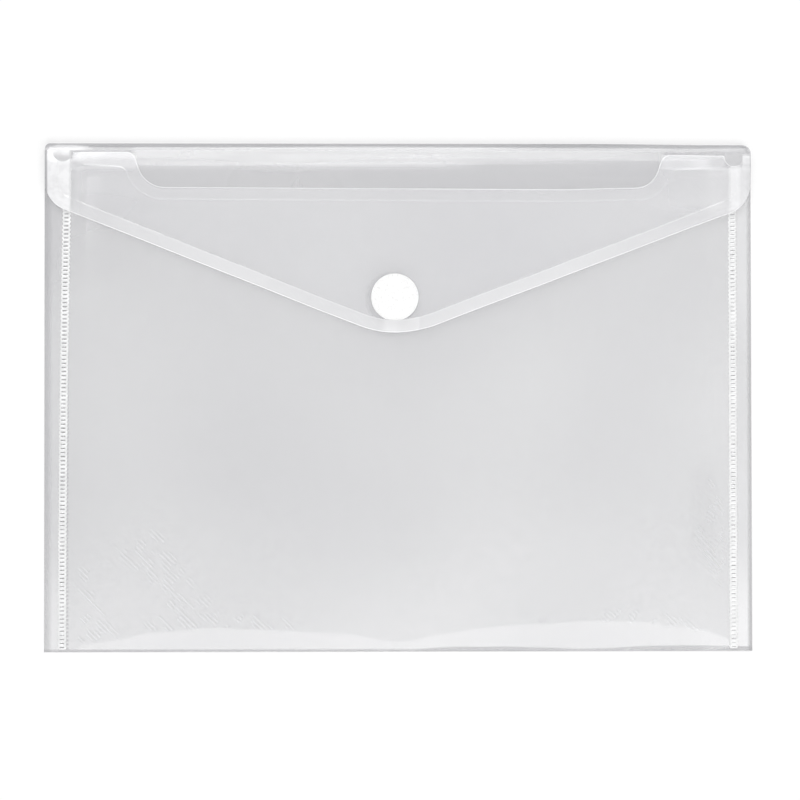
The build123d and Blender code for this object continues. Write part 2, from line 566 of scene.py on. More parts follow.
def thicken(sheet, film):
    """Gives a sheet the film's thickness, upwards, and smooths it."""
    if sheet.data.polygons[0].normal.z < 0:
        flip(sheet)
    apply_modifier(sheet, "SOLIDIFY", {"thickness": film, "offset": 1.0})
    soften(sheet)


def thicken_roll(roll, film):
    """Gives a rolled film its haze and its thickness, inwards, and smooths it."""
    if roll.data.polygons[0].normal.z > 0:
        flip(roll)
    paint_clouds(roll, lambda x, y: 0)
    apply_modifier(roll, "SOLIDIFY", {"thickness": film, "offset": -1.0})
    soften(roll)


def curve(points, x):
    """A height read off a smooth line through a few places."""
    for (low_x, low), (high_x, high) in zip(points, points[1:]):
        if x < high_x:
            return low + (high - low) * smooth(x, low_x, high_x)
    return points[-1][1]


# Embossed hatching, the film's gloss, and the numbers painted on a film's mesh
HATCH_PITCH = 2.5 * MM
STROKE_LENGTH = 9 * MM
FILM_GLOSS = {"IOR": 1.49, "Coat Roughness": 0.11, "Coat IOR": 2.3}
# The edge marks paint highlights on cut edges and hem lines (rim, line), a paler hem band (band) and shade
# at the edges and under the hem lines (dark, under)
EDGE_MARKS = ("rim", "dark", "band", "line", "under")
CLOUD_MARKS = ("cloud", "patch")


def marks(**values):
    """A full set of edge marks, nought unless given."""
    return {key: values.get(key, 0.0) for key in EDGE_MARKS}


def edge_rings(inset, guards):
    """Rings of a free edge: a painted highlight on the cut line with a painted dark line at its very edge,
    a paler band with guard rings (partly whitened film and partly painted reflection), and an embossed hem
    line with a painted highlight and painted shade just inside it.
    """
    rings = [
        (0, marks(dark=1, rim=1, band=1)),
        (0.22 * MM, marks(dark=1, rim=1, band=1)),
        (0.45 * MM, marks(dark=0.4, band=1)),
        (0.9 * MM, marks(band=1)),
    ]
    rings += [(inset - guard, marks(band=1)) for guard in guards]
    return rings + [
        (inset, marks(line=1, band=0.6)),
        (inset + 0.3 * MM, marks(under=1)),
        (inset + 0.8 * MM, marks()),
    ]


def paint_clouds(sheet, hatched):
    """Paints the film's uneven haze, and how much its embossed hatching shows."""
    for key in CLOUD_MARKS:
        sheet.data.attributes.new(key, "FLOAT", "POINT")
    for vertex in sheet.data.vertices:
        x, y = vertex.co.x, vertex.co.y
        cloud = noise.noise(Vector((14 * x, 14 * y, 3.7)))
        patch = smooth(noise.noise(Vector((30 * x, 30 * y, 9.2))), -0.35, 0.25) * hatched(x, y)
        paint(sheet, [vertex.index], {"cloud": cloud, "patch": patch})


def film_material(name, kind, own_masks):
    """Clear film: faint haze, embossed hatching whose strokes carry painted light and shade, gloss, painted
    highlights on its cut edges and hem lines with painted shade beside them, and the piece's own masks,
    mostly of painted light and shade.
    """
    colours = bpy.context.scene.wallet_colours
    haze = getattr(colours, kind + "_haze")
    recipe = Recipe(bpy.data.materials.new(name))
    x, y = recipe.place()[1:3]
    masks = {"white": 0.0, "painted_shade": 0.0, "more": 0.0, "clear": 0.0, "gloss": 1.0}
    masks.update({"rim": 0.5, "line": 0.2, "band": 0.3, "dark": 0.0})
    masks.update(own_masks(recipe, x, y))
    cloud = recipe.mark("cloud")
    row = recipe.sum("FLOOR", (x + y) * (1 / HATCH_PITCH))
    along = (x - y) * (1 / STROKE_LENGTH)
    spot = recipe.add("ShaderNodeCombineXYZ", {}, {0: row * 0.37, 1: along})[0]
    strokes = recipe.noise(spot, 1.0, 0.0).step(0.46, 0.56)
    # The hatch strokes are painted lit on one side and shaded on the other, as light would fall across the
    # embossing
    grain = (x + y).wave(HATCH_PITCH) * recipe.mark("patch") * strokes
    plain = haze * (1 + 0.2 * cloud) + masks["more"]
    # Light sums the painted highlights: cut edges, hem lines, the hem band (partly whitened film), the
    # piece's white mask and the lit side of the strokes. Dark sums the painted shade: dark edge lines,
    # shade under the hem lines, the piece's shade mask and the shaded side of the strokes.
    light = recipe.mark("rim") * masks["rim"] + recipe.mark("line") * masks["line"] + masks["white"]
    light = (light + recipe.mark("band") * masks["band"] + grain.limit() * 0.17) * (1 - masks["clear"])
    dark = recipe.mark("dark") * masks["dark"] + recipe.mark("under") * 0.03 + masks["painted_shade"]
    dark = dark + (-1 * grain).limit() * 0.12
    plain = plain * (1 - masks["clear"])
    cover = plain + light + dark
    whiteness = recipe.sum("DIVIDE", light, plain + light + 0.001)
    tinted = recipe.mix(whiteness, getattr(colours, kind), colours.edge)
    tinted = recipe.mix(recipe.sum("DIVIDE", dark, cover + 0.001), tinted, colours.shade)
    facing = recipe.add("ShaderNodeLayerWeight", {}, {"Blend": 0.5})[1]
    bump = recipe.bump(grain, 0.2, 0.03 * MM)
    sockets = {"Base Color": tinted, "Roughness": 0.32 + 0.1 * cloud, "Normal": bump, **FILM_GLOSS}
    sockets["Alpha"] = (cover + facing ** 3 * 0.3).limit()
    sockets["Coat Weight"] = masks["gloss"]
    return recipe.surface(sockets)


def inside_material():
    """The clear underside of a film, through which the marks on its other side show."""
    name = "film_inside"
    if name in bpy.data.materials:
        return bpy.data.materials[name]
    recipe = Recipe(bpy.data.materials.new(name))
    cloud = recipe.mark("cloud")
    facing = recipe.add("ShaderNodeLayerWeight", {}, {"Blend": 0.5})[1]
    tint = opaque(bpy.context.scene.wallet_colours.film)
    sockets = {"Base Color": tint, "Coat Weight": 1.0, **FILM_GLOSS}
    sockets["Roughness"] = 0.3 + 0.1 * cloud
    sockets["Alpha"] = 0.03 + 0.01 * cloud + facing ** 3 * 0.3
    return recipe.surface(sockets)


def side_lines(x, y):
    """Painted shade: dark lines along both side edges, the right one narrower and deeper towards its foot.
    """
    left = (-x).step(HALF_WIDTH - 4.4 * MM, HALF_WIDTH - 0.4 * MM) * 0.85
    right = x.step(HALF_WIDTH - 2.6 * MM, HALF_WIDTH - 0.4 * MM)
    right = right * (1.1 + 0.5 * (-y).rise(60, 100))
    return left + right


def dress_film(piece, node, kind, own_masks, is_inside):
    """Dresses a film's two sides and lets it stand for its node."""
    dress(piece, film_material(piece.name, kind, own_masks))
    piece.data.materials.append(inside_material())
    for face in piece.data.polygons:
        face.material_index = 1 if is_inside(face) else 0
    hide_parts(node)


def left_lean(sizes, x, y):
    """How far the film about the left weld is drawn in, more towards the top."""
    up = (y - WELD_LOW_Y) / (WELD_TOP_Y - WELD_LOW_Y)
    outer = (HALF_WIDTH + x) / (HALF_WIDTH - WELD_OUT)
    near = min(1, outer, max(0, -x - WELD_IN + 30 * MM) / (30 * MM))
    ending = 1 - smooth(y, WELD_TOP_Y, WELD_TOP_Y + 1.4 * MM)
    return (sizes.weld_lean * up * abs(up) - 0.35 * MM) * near * ending


def faces_down(face):
    return face.normal.z < -0.3


def faces_axis(y, z):
    """A test for faces that look in towards a line across the wallet."""
    return lambda face: (face.center.y - y) * face.normal.y + (face.center.z - z) * face.normal.z < 0


def back_masks(recipe, x, y):
    """Painted shade and light on the back film: a dark crease and side lines, more haze behind the thumb
    cut and in the upper left corner, and clearer towards the right, the bottom and along the margins.
    """
    broad = x.rise(5, 28) * (1 - 0.5 * abs(x - 92 * MM).rise(22, 6))
    level = y - BEND_Y - 0.5 * MM * x.wave(0.11) * x.rise(40, 60)
    crease = (level - 0.9 * MM * broad).rise(1.15, 0.85)
    # Painted light and shade: the back film is clearer towards the right and the bottom and hazier in its
    # upper left corner
    sideways = x.rise(-130, 210)
    lower = (-y).rise(30, 115)
    corner = (-x).rise(100, 145) * y.rise(45, 70)
    painted_light = y.rise(75, 0) * 0.06 - 0.015 + sideways * 0.115 - corner * 0.07
    painted_light = painted_light + lower * (1 - 0.5 * sideways) * 0.14
    # Painted light and shade along the margins: the left one clearer at its foot and hazier in its upper
    # half, the right one clearer nearly all along
    left_margin = (-x).step(WELD_OUT - 1 * MM, WELD_OUT + 0.5 * MM)
    right_margin = x.step(WELD_OUT - 1 * MM, WELD_OUT + 0.5 * MM)
    foot = (-y).rise(60, 100)
    margins = left_margin * (foot * 0.08 - y.rise(20, 60) * 0.05)
    ends = y.rise(10, 60) * 0.16 + (-y).rise(10, 45) * 0.08
    margins = margins + right_margin * (ends + foot * 0.12) * y.rise(110.5, 109)
    # Painted shade: more haze behind the thumb cut
    bend = distance((abs(x) - CUT_BEND_X).most(0.0), (CUT_BEND_Y - y).most(0.0))
    mouth = bend.rise(CUT_BEND + 0.2, CUT_BEND - 0.2) * y.rise(118, 106)
    return {
        "painted_shade": side_lines(x, y) * 0.27 + crease * (0.33 + 0.2 * broad),
        "more": mouth * 0.14 - painted_light * y.rise(100, 92) - margins,
    }


class WALLET_OT_back_film(bpy.types.Operator):
    """Adds the flat back film"""

    bl_idname = "wallet.back_film"
    bl_label = "Back film"

    def execute(self, context):
        sizes = context.scene.wallet_sizes
        film = add_piece("back_film", bpy.ops.mesh.primitive_plane_add, size=1)
        for vertex in film.data.vertices:
            vertex.co.x *= 2 * HALF_WIDTH
            vertex.co.y = BEND_Y if vertex.co.y < 0 else HINGE_Y
        divide(film, spread(-HALF_WIDTH, HALF_WIDTH, 12 * MM), spread(BEND_Y, HINGE_Y, 12 * MM))
        paint_clouds(film, lambda x, y: 0)
        thicken(film, sizes.film)
        dress_film(film, "back_panel", "back", back_masks, faces_down)
        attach(film, "pocket")
        return {"FINISHED"}


def front_masks(recipe, x, y):
    """Painted highlights on the front film's shoulders and cut edges, and its painted dark lines and
    shadows.
    """
    sizes = bpy.context.scene.wallet_sizes
    # Painted highlights on the shoulders beside the thumb cut, above and below the hem line, by the top of
    # the left weld and by the right weld
    left = (-x).rise(120, 127) * (-x).step(WELD_IN + 1 * MM, WELD_IN - 1 * MM)
    right = x.rise(121, 127) * (1 - 0.45 * x.rise(145, 150))
    right = right * x.rise(156, 154.5)
    drop = SHOULDER_Y - y - x * math.tan(sizes.mouth_tilt)
    hemmed = drop.step(sizes.hem_inset + 1.6 * MM, sizes.hem_inset + 0.6 * MM)
    below = (1 - hemmed) * drop.rise(10, 6.5)
    within = 0.13 + 0.17 * (-x).rise(149, 141)
    glow = left * (drop.rise(5, 0.3) * 0.24 + hemmed * within + below * 0.28)
    outer = 0.1 + 0.26 * x.rise(132, 145)
    glow = glow + right * hemmed * (0.24 + outer * drop.rise(1.6, 2.6))
    close = (-x).rise(146, 156) * (-x).step(WELD_IN + 1 * MM, WELD_IN - 1 * MM)
    close = close * y.rise(82, 90)
    glow = glow + close * (0.3 + 0.35 * drop.rise(5.2, 3.2))
    glow = glow + x.rise(135, 155) * x.step(WELD_OUT, WELD_IN) * 0.08
    hem = (left + right) * drop.rise(9, 7.5)
    ends = abs(x).rise(150, 152)
    left_half = x.rise(10, 0)
    # Painted shade: a faint streak low by the right weld, dark teeth along the left weld's inner edge, a
    # shadow ring round the closure set off to the lower left, and the side lines
    streak = abs(x - 145 * MM).rise(9, 2) * (-y).rise(25, 40)
    streak = streak * (-y).rise(85, 68)
    inner = (-x).step(WELD_IN - 0.9 * MM, WELD_IN - 0.5 * MM) * (-x).step(WELD_OUT, WELD_IN)
    teeth = (y - WELD_LOW_Y).wave(sizes.rung_pitch).step(-0.6, 0.6)
    apart = distance(x - COIN_X + 1.0 * MM, y - COIN_Y + 0.7 * MM)
    ring = apart.step(COIN_RADIUS + 2.4 * MM, COIN_RADIUS - 0.2 * MM)
    return {
        "white": glow,
        "painted_shade": inner * teeth * 0.35 + ring * 0.36 + side_lines(x, y) * 0.2 + streak * 0.05,
        # Painted highlight on the cut edge, fainter on the left half, where at the ends it gives way to a
        # painted dark line; the hem line's painted highlight is stronger over the shoulders
        "rim": 0.75 - 0.2 * left_half - 0.5 * ends * left_half,
        "dark": 0.5 * ends * left_half,
        "line": 0.2 + hem * 0.42,
        "band": 0.01,
        "gloss": 1 - 0.24 * y.step(BEND_Y + 26 * MM, BEND_Y + 12 * MM),
    }


def rise_past(depth, run, wide, steep):
    """The front film's height some way in from the fold, past a steep strip of a given width."""
    rest = depth - steep * wide
    past = min(max(0, run - wide), 2 * rest / GENTLE_SLOPE)
    return steep * min(run, wide) + GENTLE_SLOPE * past * (1 - past * GENTLE_SLOPE / (4 * rest))


def rise_from_fold(depth, x, y):
    """The front film's height above its bottom fold, with the strip's edge rounded off."""
    run = max(0, y - BEND_Y - 0.6 * MM)
    wide = (curve(FOLD_STRIP, x / MM) - 1) * MM
    steep = 0.26 - 0.05 * smooth(-x, 118 * MM, 146 * MM)
    edges = [rise_past(depth, run, wide + shift * MM, steep) for shift in (-1.4, -0.7, 0, 0.7, 1.4)]
    return sum(edges) / len(edges)


def front_height(sizes, x, y):
    """The height of the front film's underside, bowed up from the welds and the bottom fold."""
    depth = CREST_TOP - sizes.film - MARGIN_FLOOR
    across = min(1, max(0, (WELD_IN - abs(x)) / sizes.side_rise))
    across = 1 - (1 - across) ** 2
    up = rise_from_fold(depth, x, y) / depth
    blend = 0.12
    gap = max(0, blend - abs(across - up)) / blend
    level = max(0, min(across, up) - gap * gap * blend / 4)
    calm = smooth(math.dist((x, y), (COIN_X, COIN_Y)), 12 * MM, 40 * MM)
    low = 0.015 * MM + sizes.ripple * (1 - ripple(x, y)) / 2 * calm
    return MARGIN_FLOOR + (depth - low) * level


def hatching(x, y):
    """How much of the front film's hatching shows: most in its lower corners and above the strip."""
    over = y - BEND_Y - curve(FOLD_STRIP, x / MM) * MM
    low_left = 0.85 * smooth(-y, 48 * MM, 62 * MM) * smooth(-x, 65 * MM, 95 * MM)
    low_right = 0.4 * smooth(x, 90 * MM, 120 * MM) * smooth(-y, 40 * MM, 60 * MM)
    foot = max(smooth(-x, 35 * MM, 60 * MM), 0.8 * smooth(x, 50 * MM, 70 * MM))
    foot *= smooth(over, 10 * MM, 5 * MM)
    above = smooth(over, -0.5 * MM, 1 * MM)
    inside = smooth(WELD_IN - abs(x), 1 * MM, 6 * MM)
    general = 0.2 * smooth(-y, -40 * MM, 60 * MM)
    return max(general, low_left, low_right, foot) * above * inside


class WALLET_OT_front_film(bpy.types.Operator):
    """Adds the bowed front film with its mouth, hem line and weld slots"""

    bl_idname = "wallet.front_film"
    bl_label = "Front film"

    def execute(self, context):
        sizes = context.scene.wallet_sizes
        film = ringed_sheet("front_film", sizes, front_outline, (0.9 * MM, 0.3 * MM))
        trim(film, (HALF_WIDTH, 0, 0), (1, 0, 0))
        trim(film, (-HALF_WIDTH, 0, 0), (-1, 0, 0))
        trim(film, (0, BEND_Y, 0), (0, -1, 0))
        ends = (HEM_END - 0.2 * MM, HEM_END + 0.2 * MM)
        columns = spread(-WELD_IN, WELD_IN, 4 * MM)
        columns += [-WELD_OUT, -WELD_IN, WELD_IN, WELD_OUT, -ends[1], -ends[0], *ends]
        foot = BEND_Y + 1.2 * MM
        level = BEND_Y + 30 * MM
        rows = spread(foot, level, 1.2 * MM) + spread(level, SHOULDER_Y, 6 * MM)
        rows += [foot, level, WELD_LOW_Y, WELD_TOP_Y]
        divide(film, columns, rows)
        cut_slots(film)
        line = film.data.attributes["line"].data
        paint_clouds(film, hatching)
        for vertex in film.data.vertices:
            if abs(vertex.co.x) > HEM_END:
                paint(film, [vertex.index], {"band": 0, "line": 0, "under": 0})
            raised = sizes.hem_ridge * line[vertex.index].value
            vertex.co.z = front_height(sizes, vertex.co.x, vertex.co.y) + raised
            vertex.co.x += left_lean(sizes, vertex.co.x, vertex.co.y)
        thicken(film, sizes.film)
        dress_film(film, "front_panel", "film", front_masks, faces_down)
        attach(film, "pocket")
        return {"FINISHED"}


def crease_masks(recipe, x, y):
    """Painted shade: an uneven dark line along the crease."""
    return {"painted_shade": 0.42 + 0.08 * x.wave(0.031)}


class WALLET_OT_bottom_crease(bpy.types.Operator):
    """Adds the tight crease that joins the back film to the front film"""

    bl_idname = "wallet.bottom_crease"
    bl_label = "Bottom crease"

    def execute(self, context):
        sizes = context.scene.wallet_sizes
        radius = (MARGIN_FLOOR + sizes.film) / 2
        grid = bpy.ops.mesh.primitive_grid_add
        crease = add_piece("bottom_crease", grid, x_subdivisions=40, y_subdivisions=12, size=1)
        for vertex in crease.data.vertices:
            angle = math.pi * (vertex.co.y + 0.5)
            vertex.co = (
                2 * HALF_WIDTH * vertex.co.x,
                BEND_Y - radius * math.sin(angle),
                radius - radius * math.cos(angle),
            )
        thicken_roll(crease, sizes.film)
        dress_film(crease, "bottom_fold", "film", crease_masks, faces_axis(BEND_Y, radius))
        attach(crease, "pocket")
        return {"FINISHED"}


def roll_masks(recipe, x, y):
    """Painted shade on the roll's upper edge, rounded ends, lower half and right part, a painted highlight
    at its left end, and its uneven gloss.
    """
    sizes = bpy.context.scene.wallet_sizes
    top = FLAP_TOP - sizes.fold_drop
    z = recipe.place()[3]
    left_end = (-x).rise(142, 154)
    right = x.rise(70, 140)
    slacker = x.rise(40, 75) * 0.58 - x.rise(105, 130) * 0.23
    slacker = slacker + x.rise(135, 152) * 0.25
    uneven = (x - 36 * MM).wave(0.185) * 0.35 * MM - left_end * 0.6 * MM
    drooped = x.rise(90, 150) * sizes.roll_droop
    # Painted dark line along the roll's upper edge, uneven along its length
    edge = (y + uneven + drooped).step(TOP_Y - 1.9 * MM, TOP_Y - 1.2 * MM)
    wider = sizes.fold_end_radius - sizes.left_end_radius
    end_radius = sizes.left_end_radius + wider * x.rise(-10, 10)
    aside = (abs(x) - HALF_WIDTH + 0.5 * MM + end_radius).most(0.0)
    above = (y - TOP_Y + end_radius).most(0.0)
    rim = (distance(aside, above) - end_radius).rise(-1.5, -1.1)
    rim = rim * abs(x).step(HALF_WIDTH - 6 * MM, HALF_WIDTH - 4 * MM) * (0.35 + 0.4 * left_end)
    # Painted shade: the roll's lower half is darkened to match the back film
    under = z.step(0.55 * top, 0.45 * top)
    outline = (edge * (0.42 - 0.16 * right)).most(rim)
    return {
        "white": left_end * (1 - under) * (1 - edge) * 0.3 * (1 - rim),
        "painted_shade": outline + under * 0.25 + right * 0.04,
        "gloss": (0.8 - slacker) * (1 - rim),
    }


class WALLET_OT_top_roll(bpy.types.Operator):
    """Adds the soft roll over which the back film becomes the flap"""

    bl_idname = "wallet.top_roll"
    bl_label = "Top roll"

    def execute(self, context):
        sizes = context.scene.wallet_sizes
        grid = bpy.ops.mesh.primitive_grid_add
        roll = add_piece("top_roll", grid, x_subdivisions=96, y_subdivisions=28, size=1)
        reach = TOP_Y - HINGE_Y
        top = FLAP_TOP - sizes.fold_drop
        slope = 2 * sizes.fold_drop / sizes.fold_run
        radius = top / 2

        # The lean at which the round part meets the flap's slope is found by repeated tries
        for attempt in range(20):
            lean = math.atan(slope * reach / radius)
            radius = (top - slope * reach * math.sin(lean)) / (1 + math.cos(lean))
        round_share = 0.85
        run_share = 0.15
        for vertex in roll.data.vertices:
            part = (vertex.co.y + 0.5) / round_share
            angle = min(1.0, part) * (math.pi - lean)
            run_out = max(0.0, part - 1) * round_share / run_share * reach * math.sin(lean)
            y = HINGE_Y + reach * math.sin(angle) - run_out
            z = radius * (1 - math.cos(angle)) + slope * run_out
            end_radius = sizes.fold_end_radius if vertex.co.x > 0 else sizes.left_end_radius
            past = max(0.0, y - (TOP_Y - end_radius)) / end_radius
            limit = HALF_WIDTH - end_radius * (1 - math.sqrt(max(0.0, 1 - past * past)))
            x = 2 * vertex.co.x * (limit - 0.6 * sizes.flap_taper * z / top)
            droop = sizes.roll_droop * smooth(x, 90 * MM, 150 * MM) * (y - HINGE_Y) / reach
            vertex.co = (x, y - droop, z)
        thicken_roll(roll, sizes.film)
        dress_film(roll, "top_fold", "film", roll_masks, faces_axis(HINGE_Y, top / 2))
        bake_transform(roll)
        return {"FINISHED"}


def flap_masks(recipe, x, y):
    """Painted highlights and shade on the flap, over the margins, the shoulders, the fold and the V tip,
    and its places of duller gloss.
    """
    sizes = bpy.context.scene.wallet_sizes
    apart = distance(x - COIN_X, y - COIN_Y)
    blotch = recipe.noise(recipe.place()[0], 260.0, 1.0).step(0.35, 0.65)
    drop = SHOULDER_Y - y - x * math.tan(sizes.mouth_tilt)
    low = y.rise(84, 92)
    sides = abs(x).rise(154, 156)
    shoulders = abs(x).rise(123, 127)
    right_half = x.rise(0, 10)
    # Painted dark line just inside the flap's side edges, towards the top
    outline = abs(x) - right_half * 0.6 * MM
    outline = outline.step(HALF_WIDTH - 1.7 * MM, HALF_WIDTH - 1.3 * MM) * y.rise(86, 98)
    notch = distance(abs(x) - WELD_X - right_half * sizes.notch_shift, drop)
    notch = notch.step(sizes.notch_radius + 0.3 * MM, sizes.notch_radius - 0.3 * MM)
    # Past covers the flap beyond the mouth's shoulders: there it is duller and carries a little painted
    # shade
    past = drop.rise(0.3, -0.1) * shoulders
    past = past * (1 - 0.8 * right_half * x.rise(152, 138) * drop.rise(-0.7, -1.3))
    # Spot: painted highlight on the hem band by the V tip, weaker right of the middle
    spot = recipe.mark("band") * x.rise(-10, -5) * x.rise(10.5, 9)
    spot = spot * (1 - 0.5 * x.rise(-3, 3))

    # Painted highlights over the margins, less so over the notches
    left = (-x).rise(154.3, 156.3) * (0.5 + 0.1 * blotch)
    left = left * (1 - 0.85 * notch * drop.rise(-0.5, 3.5))
    strip = x.rise(156.4, 158) * drop.rise(4.6, 5.4)
    margin = x.rise(160.8, 163)
    beside = x.rise(162.5, 163.5) * drop.rise(8, 3) * drop.rise(-1, 1)
    right = strip * (0.28 - 0.2 * margin + 0.04 * blotch) + beside * 0.44
    # Aside: painted light over the flap's right part, below the shoulder line
    aside = x.rise(100, 140) * 0.13 + x.rise(141, 150) * 0.08
    aside = aside * drop.rise(5, 7)
    aside = aside * (1 - x.rise(128, 120) * y.rise(97.5, 101))
    # Fold: painted reflection along the flap's fold, stronger on the left, none over the shoulders and the
    # right end
    fold = y.rise(111.5, 113.5) * (0.06 + 0.05 * (-x).rise(60, 100))
    fold_sheen = y.rise(112, 110) * 0.11 + y.rise(115.5, 114) * 0.05
    fold_sheen = fold_sheen * x.rise(-75, -45) * x.rise(45, 15)
    fold_sheen = fold_sheen + (-x).rise(45, 75) * y.rise(112.5, 110.5) * 0.1
    fold = fold + y.rise(105.5, 110) * fold_sheen
    fold = fold * (1 - shoulders) * (1 - x.rise(90, 130))
    slack = x.rise(30, 110) * y.rise(112.8, 111.2) * y.rise(103, 106)
    faded = drop.rise(2.0, 4.4) * shoulders * (1 - right_half) * 0.7
    dull = sides * (0.5 + 0.4 * right_half) + (past * 0.9 + faded) * (1 - sides)
    dull = (dull * y.rise(103, 107)).most(slack * 0.8).most(outline)
    return {
        "white": ((left + right) * (1 - outline) + aside) * low + fold + spot * 0.2,
        "painted_shade": outline * (0.75 - 0.4 * right_half) + past * (1 - sides) * 0.1,
        "clear": apart.step(COIN_RADIUS, COIN_RADIUS - 0.4 * MM) * 0.92,
        "rim": 0.5,
        "dark": 0.3,
        "gloss": 1 - dull.most(notch * 0.9),
    }


class WALLET_OT_flap_film(bpy.types.Operator):
    """Adds the flap with its blunt V edge and hem line"""

    bl_idname = "wallet.flap_film"
    bl_label = "Flap film"

    def execute(self, context):
        sizes = context.scene.wallet_sizes
        film = ringed_sheet("flap_film", sizes, flap_outline, (0.3 * MM,))
        trim(film, (0, HINGE_Y, 0), (0, 1, 0))
        curved = HINGE_Y - 15 * MM
        rows = spread(curved, HINGE_Y, 1.5 * MM) + spread(FLAP_TIP_Y, curved, 5 * MM) + [curved]
        divide(film, spread(-HALF_WIDTH, HALF_WIDTH, 6 * MM), rows)
        line = film.data.attributes["line"].data
        level_half = 95 * MM
        for vertex in film.data.vertices:
            x, y = vertex.co.x, vertex.co.y
            away = HINGE_Y - y
            dip = max(0, 1 - away / sizes.fold_run) ** 2
            aside = max(0, (abs(x) - level_half) / (HALF_WIDTH - level_half)) ** 2
            sag = sizes.corner_sag * aside * smooth(away, 0, 22 * MM)
            held = smooth(math.dist((x, y), (COIN_X, COIN_Y)), 10 * MM, 40 * MM)
            wave = sizes.ripple * (ripple(x + 0.2, y) - 1) * smooth(away, 0, 30 * MM) * held
            vertex.co.z = FLAP_FLOOR + 0.02 * MM - sizes.fold_drop * dip - sag + wave
            vertex.co.z += sizes.hem_ridge * line[vertex.index].value
            # At the flap's sides the painted white rim gives way to a painted dark edge line, and the hem
            # band's painted lightness follows HEM_WHITENESS across
            side = smooth(abs(x), 150 * MM, 158 * MM) * smooth(y, 84 * MM, 96 * MM)
            hem = smooth(HALF_WIDTH - abs(x), 13 * MM, 19 * MM)
            scale = {"rim": 1 - side, "dark": side, "band": (1 - side) * curve(HEM_WHITENESS, x / MM)}
            scale.update({"line": hem, "under": hem})
            for key, share_left in scale.items():
                film.data.attributes[key].data[vertex.index].value *= share_left
            vertex.co.y -= curve(EDGE_DROOP, x / MM) * MM * smooth(away, 5 * MM, 40 * MM)
            vertex.co.x -= math.copysign(sizes.flap_taper * smooth(abs(x), 120 * MM, HALF_WIDTH), x)
        paint_clouds(film, lambda x, y: 0.1)
        thicken(film, sizes.film)
        dress_film(film, "flap", "film", flap_masks, faces_down)
        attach(film, "flap")
        return {"FINISHED"}


def weld_material():
    """Melted film, white on the rungs and clearer in the windows between them, where painted shade darkens
    them.
    """
    colours = bpy.context.scene.wallet_colours
    recipe = Recipe(bpy.data.materials.new("weld_ladder"))
    window = recipe.mark("window")
    melted = recipe.mark("melt")
    sockets = {"Coat Weight": 1.0, "Coat Roughness": 0.2, "Coat IOR": 2.0}
    sockets["Base Color"] = recipe.mix(window.step(0.2, 0.7), colours.weld, colours.shade)
    sockets["Roughness"] = 0.3 + 0.1 * melted
    sockets["Alpha"] = (0.74 + 0.2 * melted - 0.44 * window).limit()
    return recipe.surface(sockets)


class WALLET_OT_side_welds(bpy.types.Operator):
    """Adds the ladder welds down both sides"""

    bl_idname = "wallet.side_welds"
    bl_label = "Side welds"

    def execute(self, context):
        sizes = context.scene.wallet_sizes
        span = WELD_TOP_Y - WELD_LOW_Y
        count = round(span / sizes.rung_pitch)
        pitch = span / count
        wide = WELD_OUT - WELD_IN
        rung_rise = 0.1 * MM
        high = MARGIN_FLOOR + sizes.film + rung_rise
        grid = bpy.ops.mesh.primitive_grid_add
        ladder = add_piece("right_weld_ladder", grid, x_subdivisions=10, y_subdivisions=8, size=1)
        window = ladder.data.attributes.new("window", "FLOAT", "POINT").data
        for vertex in ladder.data.vertices:
            u, v = vertex.co.x, vertex.co.y
            across = 1 - smooth(abs(u - 0.03), 0.22, 0.32)
            along = 1 - smooth(abs(v), 0.12, 0.3)
            fall = smooth(abs(u), 0.38, 0.5)
            scallop = 1 - 0.2 * smooth(abs(v), 0.1, 0.5)
            z = high - sizes.rung_depth * across * along - rung_rise * fall
            window[vertex.index].value = across * along
            vertex.co = (WELD_X + wide * u * scallop, WELD_LOW_Y + pitch * (v + 0.5), z)
        repeat(ladder, count, (0, pitch, 0), 0.01 * MM)
        apply_modifier(ladder, "SOLIDIFY", {"thickness": sizes.film, "offset": -1.0})
        soften(ladder, 60)
        melt = ladder.data.attributes.new("melt", "FLOAT", "POINT").data
        for vertex in ladder.data.vertices:
            melt[vertex.index].value = noise.noise(Vector((300 * vertex.co.x, 300 * vertex.co.y, 1.5)))
        dress(ladder, weld_material())

        choose(ladder)
        bpy.ops.object.duplicate(linked=False)
        other = rename("left_weld_ladder")
        edit(other, "SELECT")
        bpy.ops.transform.resize(value=(-1, 1, 1), center_override=(0, 0, 0))
        bpy.ops.mesh.flip_normals()
        leave_edit()
        for vertex in other.data.vertices:
            vertex.co.x += left_lean(sizes, -WELD_X, vertex.co.y)

        # Each window is open by its own share, and the left ones less so under the flap
        dice = random.Random(7)
        for piece, node, least, most, hidden in (
            (ladder, "right_weld_seam", 0.4, 0.58, 0.0),
            (other, "left_weld_seam", 0.58, 0.8, 0.2),
        ):
            shares = [dice.uniform(least, most) for rung in range(count)]
            painted = piece.data.attributes["window"].data
            for vertex in piece.data.vertices:
                rung = min(count - 1, max(0, int((vertex.co.y - WELD_LOW_Y) / pitch)))
                covered = 1 - hidden * smooth(vertex.co.y, 82 * MM, 90 * MM)
                painted[vertex.index].value *= shares[rung] * covered
            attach(piece, "pocket")
            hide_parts(node)
        return {"FINISHED"}


def disc(name, radius, low, high, bevel):
    """A round layer of the closure with softened rims."""
    place = (COIN_X, COIN_Y, (low + high) / 2)
    cylinder = bpy.ops.mesh.primitive_cylinder_add
    layer = add_piece(name, cylinder, vertices=96, radius=radius, depth=high - low, location=place)
    bpy.ops.object.transform_apply(location=True, rotation=True, scale=True)
    apply_modifier(layer, "BEVEL", {"width": bevel, "segments": 3, "limit_method": "ANGLE"})
    soften(layer)
    return layer


